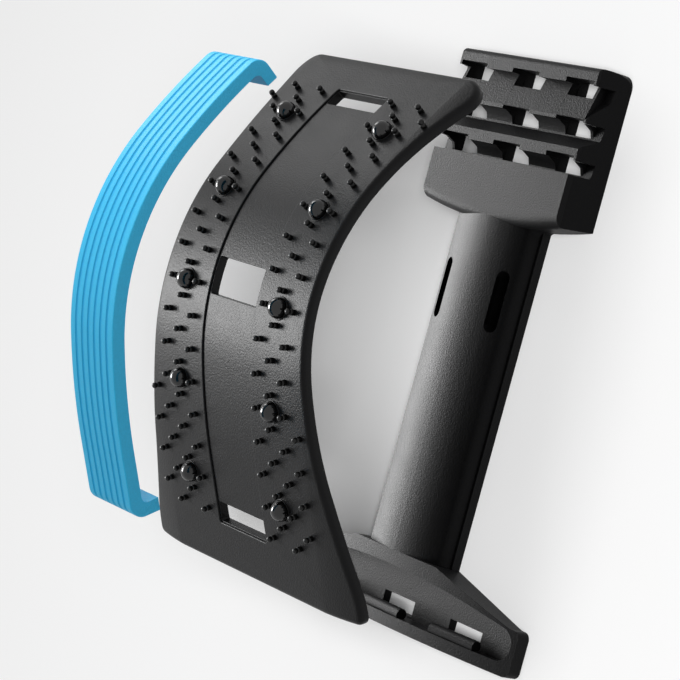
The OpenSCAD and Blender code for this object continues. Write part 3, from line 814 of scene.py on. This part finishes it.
def tabs_and_hooks(bm):
    """Tabs under the neck end and hooks under the hip end, which snap into the base."""
    p, pitch = plate_sizes(), base_sizes().opening_pitch
    seat = Matrix.Translation((0, 0, arch_sizes().top_z * MM)) @ Matrix.Scale(MM, 4)
    for i in (-1, 0, 1):
        tab_y, hook_y = i * pitch, i * p.hook_pitch
        box(bm, (152.5, tab_y - p.tab_w, -91.5), (158.5, tab_y + p.tab_w, -70), seat)
        box(bm, (-171.5, hook_y - p.hook_w, -89), (-167.5, hook_y + p.hook_w, -71), seat)


class STRETCHER_OT_plate(bpy.types.Operator):
    """Make the arched plate with its rim, channel, slots, window, collars, tabs and hooks"""

    bl_idname = "stretcher.plate"
    bl_label = "Arched plate"

    def execute(self, context):
        bm = bmesh.new()
        plate_sheet(bm)
        bead_collars(bm)
        tabs_and_hooks(bm)
        material = textured_plastic("plate_plastic", finishes().plate, 0.38, finishes().plate_shine)
        mesh = eased(finish_bmesh(bm, "plate"))
        new_piece("plate_shell", mesh, "plate", ["arch_plate"], material)
        return {"FINISHED"}


def bead_places(side):
    """Number, arc length and distance across of each bead in a row."""
    for i in range(1, 6):
        yield i, (3 - i) * trim_sizes().bead_pitch - arch_sizes().bead_s, SIDES[side] * trim_sizes().bead_y


class STRETCHER_OT_beads(bpy.types.Operator):
    """Make the ten massage beads"""

    bl_idname = "stretcher.beads"
    bl_label = "Massage beads"

    def execute(self, context):
        r, h, seat = trim_sizes().bead_r, trim_sizes().bead_h, 2.6
        start = math.acos(-(h + seat) / r)
        profile = [(0, -seat)]
        profile += [(r * math.sin(start * (1 - i / 20)), h + r * math.cos(start * (1 - i / 20))) for i in range(20)]
        profile += [(0, h + r)]
        material = gloss_plastic()
        for side in SIDES:
            for i, u, y in bead_places(side):
                bm = bmesh.new()
                lathe(bm, profile, 40, arch_matrix(u, y))
                name = f"bead_{side}_{i}"
                new_piece(f"ball_{side}_{i}", finish_bmesh(bm, name), "plate", [name], material)
        return {"FINISHED"}


def nub_steps(column):
    """Row numbers of the nubs in a column, counted from the middle beads."""
    if column in (1, 3):
        return list(range(-14, 15, 2))
    if column == 2:
        return list(range(-13, 14, 2))
    return [-13, -11, -9, -7, 13]


def rounded(steps):
    """Cosine and sine pairs up a quarter round, without its top."""
    return [(math.cos(math.pi / 2 * i / steps), math.sin(math.pi / 2 * i / steps)) for i in range(steps)]


class STRETCHER_OT_nubs(bpy.types.Operator):
    """Make the soft nubs in their columns on both sides"""

    bl_idname = "stretcher.nubs"
    bl_label = "Nubs"

    def execute(self, context):
        t = trim_sizes()
        r, h = t.nub_r, t.nub_h
        profile = [(0, -1), (r, -1), (r, 1.9), (r - 0.1, 2.2), (r - 0.35, 2.35), (r - 0.4, 2.6)]
        profile += [(r - 0.3, 2.8), (r - 0.1, 2.95), (r - 0.05, 3.2)]
        profile += [(c * (r - 0.05), h - 1.4 + 1.4 * d) for c, d in rounded(6)]
        profile += [(0, h)]
        material = nub_rubber()
        for side, sign in SIDES.items():
            for column in (1, 2, 3, 4):
                bm = bmesh.new()
                y = sign * (t.bead_y + (column - 2) * t.nub_col)
                for k in nub_steps(column):
                    lathe(bm, profile, 18, arch_matrix(k * t.nub_pitch - arch_sizes().bead_s, y))
                node = f"nubs_{side}_{column}"
                mesh = finish_bmesh(bm, node)
                new_piece(f"nub_column_{side}_{column}", mesh, "plate", [node], material)
        return {"FINISHED"}


def arc(centre, radius, start, stop, steps):
    """Points of an arc, with its angles in degrees."""
    turns = [math.radians(start + (stop - start) * i / steps) for i in range(steps + 1)]
    return [(centre[0] + radius * math.cos(turn), centre[1] + radius * math.sin(turn)) for turn in turns]


def pad_end(outer_u, inner_u, tip_h, outer_r, inner_r, lean):
    """Pairs of outer and inner points down one turned end, as (arc length, height) pairs, from the strip to the tip."""
    p = pad_sizes()
    top = p.low_h + p.thick
    outside = arc((outer_u - outer_r, top - outer_r), outer_r, 90, 0, 10)
    inside = arc((inner_u - inner_r, p.low_h - inner_r), inner_r, 90, 0, 10)
    pairs = list(zip(outside, inside))
    for i in range(1, 5):
        part = i / 4
        pairs.append(
            (
                (outer_u + lean * part, (1 - part) * (top - outer_r) + part * tip_h),
                (inner_u + lean * part, (1 - part) * (p.low_h - inner_r) + part * tip_h),
            )
        )
    return pairs


def pad_pairs():
    """Pairs of outer and inner points along the whole pad, from the hip tip to the neck tip."""
    p = pad_sizes()
    top = p.low_h + p.thick
    neck = pad_end(p.leg_high, p.leg_high - p.thick, -11.2, 9, 4, 0.3)
    hip = pad_end(p.leg_low, p.leg_low - p.thick - 0.3, -11.8, 9, 3.8, -0.8)
    hip = [((-outer[0], outer[1]), (-inner[0], inner[1])) for outer, inner in hip]
    start, stop = hip[0], neck[0]
    count = 110
    strip = []
    for i in range(1, count):
        part = i / count
        outer = start[0][0] + (stop[0][0] - start[0][0]) * part
        inner = start[1][0] + (stop[1][0] - start[1][0]) * part
        strip.append(((outer, top), (inner, p.low_h)))
    return list(reversed(hip)) + strip + neck


def groove_depth(y):
    """How deep a groove is at y across the pad, from 0 to 1."""
    p = pad_sizes()
    pitch = 2 * p.half_w / p.ribs
    place = (y + p.half_w) / pitch
    if not 0.5 < place < p.ribs - 0.5:
        return 0
    off = abs(place - round(place)) * pitch
    depth = min(max((p.groove_w / 2 + 0.3 - off) / 0.6, 0), 1)
    return depth * depth * (3 - 2 * depth)


class STRETCHER_OT_pad(bpy.types.Operator):
    """Make the ribbed foam pad with its turned ends"""

    bl_idname = "stretcher.pad"
    bl_label = "Foam pad"

    def execute(self, context):
        p = pad_sizes()
        pairs = pad_pairs()
        rows, back_rows, round_r = 20 * p.ribs, 8, 0.8
        bm = bmesh.new()
        # Each point's groove depth, kept for the material, which paints shade into the grooves by it
        layer = bm.verts.layers.float.new("groove")
        loops = []
        for i, (outer, inner) in enumerate(pairs):
            ends = min(i, len(pairs) - 1 - i)
            fade = min(max((ends - 5) / 8, 0), 1)
            over = on_arch(outer[0], 0, outer[1], p.lift)
            under = on_arch(inner[0], 0, inner[1], p.lift)
            into = (under - over).normalized() * MM
            loop = []
            for j in range(rows + 1):
                y = -p.half_w + 2 * p.half_w * j / rows
                depth = groove_depth(y) * fade
                corner = round_r * max(0, 1 - (p.half_w - abs(y)) / round_r) ** 2
                vert = bm.verts.new(over + into * (p.rib_d * depth + corner) + Vector((0, y * MM, 0)))
                vert[layer] = depth
                loop.append(vert)
            for j in range(back_rows + 1):
                y = p.half_w - 2 * p.half_w * j / back_rows
                loop.append(bm.verts.new(under + Vector((0, y * MM, 0))))
            loops.append(loop)
        bridge_all(bm, loops)
        bm.faces.new(loops[0])
        bm.faces.new(loops[-1])
        mesh = eased(finish_bmesh(bm, "pad"))
        piece = new_piece("pad_strip", mesh, "pad", ["foam_pad"], pad_foam())
        return {"FINISHED"}


# Studio


def softbox(name, place, target, size, power, lit):
    """A softbox, in metres and watts, that lights only the listed objects."""
    data = bpy.data.lights.new(name, "AREA")
    data.shape, data.size, data.size_y = "RECTANGLE", size[0], size[1]
    data.energy = power
    lamp = bpy.data.objects.new(name, data)
    lamp.location = place
    lamp.rotation_mode = "QUATERNION"
    lamp.rotation_quaternion = (Vector(target) - Vector(place)).to_track_quat("-Z", "Y")
    bpy.context.scene.collection.objects.link(lamp)
    group = bpy.data.collections.new(name + "_lit")
    for obj in lit:
        group.objects.link(obj)
    lamp.light_linking.receiver_collection = group


def paper_material():
    """White paper that takes the object's shadow."""
    b = new_material("studio_paper")
    matt = b.node("ShaderNodeBsdfDiffuse", {}, {"Color": rgba(finishes().paper)})
    b.node("ShaderNodeOutputMaterial", {}, {0: matt})
    return b.owner


def make_floor():
    """A sheet of paper just below the object, wide enough for every view."""
    bm = bmesh.new()
    half = 6.0
    corners = [bm.verts.new((x * half, y * half, -0.0002)) for x, y in ((-1, -1), (1, -1), (1, 1), (-1, 1))]
    bm.faces.new(corners)
    mesh = finish_bmesh(bm, "studio_floor")
    mesh.materials.append(paper_material())
    floor = bpy.data.objects.new("studio_floor", mesh)
    bpy.context.scene.collection.objects.link(floor)
    return floor


def make_camera():
    """The camera stands on the object's right and looks down on it with its top towards the neck end."""
    right, down = Vector(CAMERA_RIGHT), Vector(CAMERA_DOWN)
    ahead = right.cross(down)
    turn = Matrix((right, -down, -ahead)).transposed()
    data = bpy.data.cameras.new("photo_camera")
    data.sensor_fit = "HORIZONTAL"
    data.sensor_width, data.lens = 36, 36 * FOCAL_PIXELS / PHOTO_WIDTH
    data.clip_start, data.clip_end = 0.05, 50
    camera = bpy.data.objects.new("photo_camera", data)
    camera.matrix_world = Matrix.Translation(Vector(CAMERA_PLACE) * MM) @ turn.to_4x4()
    bpy.context.scene.collection.objects.link(camera)
    bpy.context.scene.camera = camera


def make_world():
    """White for the camera and for reflections, a low even light for everything else."""
    world = bpy.data.worlds.new("studio")
    b = Build(world)
    rays = ("Is Camera Ray", "Is Glossy Ray", "Is Transmission Ray")
    camera, glossy, clear = (b.value("ShaderNodeLightPath", {}, {}, output=ray) for ray in rays)
    room, white = (
        b.node("ShaderNodeBackground", {}, {"Color": (1, 1, 1, 1), "Strength": strength})
        for strength in (finishes().room_light, finishes().room_white)
    )
    mixed = b.node("ShaderNodeMixShader", {}, {0: (camera + glossy + clear).clamped(), 1: room, 2: white})
    b.node("ShaderNodeOutputWorld", {}, {0: mixed})
    bpy.context.scene.world = world


class STRETCHER_OT_studio(bpy.types.Operator):
    """Make the floor, the lights, the world and the camera"""

    bl_idname = "stretcher.studio"
    bl_label = "Studio"

    def execute(self, context):
        context.scene.view_settings.view_transform = "Standard"
        pieces = [obj for obj in context.scene.objects if obj.type == "MESH" and obj.parent]
        lit = {name: [obj for obj in pieces if obj.name.startswith(name)] for name in ("base", "pad")}
        lit["plate"] = [obj for obj in pieces if not obj.name.startswith(("base", "pad"))]
        make_world()
        lit["floor"] = [make_floor()]
        make_camera()
        for name, place, target, size, power, group in SOFTBOXES:
            softbox(name, place, target, size, power, lit[group])
        return {"FINISHED"}


class STRETCHER_PT_panel(bpy.types.Panel):
    """Lists the makers of the stretcher"""

    bl_idname = "STRETCHER_PT_panel"
    bl_label = "Stretcher"
    bl_space_type = "VIEW_3D"
    bl_region_type = "UI"
    bl_category = "Stretcher"

    def draw(self, context):
        for maker in MAKERS:
            self.layout.operator(maker.bl_idname)
        for group in GROUPS:
            for name in group.__annotations__:
                self.layout.prop(getattr(context.scene, GROUPS[group]), name)


GROUPS = {
    ArchSizes: "stretcher_arch",
    BaseSizes: "stretcher_base",
    PlateSizes: "stretcher_plate",
    TrimSizes: "stretcher_trim",
    PadSizes: "stretcher_pad",
    Finishes: "stretcher_finishes",
}
MAKERS = (
    STRETCHER_OT_base,
    STRETCHER_OT_plate,
    STRETCHER_OT_beads,
    STRETCHER_OT_nubs,
    STRETCHER_OT_pad,
    STRETCHER_OT_studio,
)


def register():
    for group, name in GROUPS.items():
        bpy.utils.register_class(group)
        setattr(bpy.types.Scene, name, PointerProperty(type=group))
    for maker in (*MAKERS, STRETCHER_PT_panel):
        bpy.utils.register_class(maker)


def unregister():
    for maker in reversed((*MAKERS, STRETCHER_PT_panel)):
        bpy.utils.unregister_class(maker)
    for group, name in GROUPS.items():
        delattr(bpy.types.Scene, name)
        bpy.utils.unregister_class(group)


def main():
    register()
    bpy.ops.stretcher.base()
    bpy.ops.stretcher.plate()
    bpy.ops.stretcher.beads()
    bpy.ops.stretcher.nubs()
    bpy.ops.stretcher.pad()
    bpy.ops.stretcher.studio()


if __name__ == "__main__":
    main()
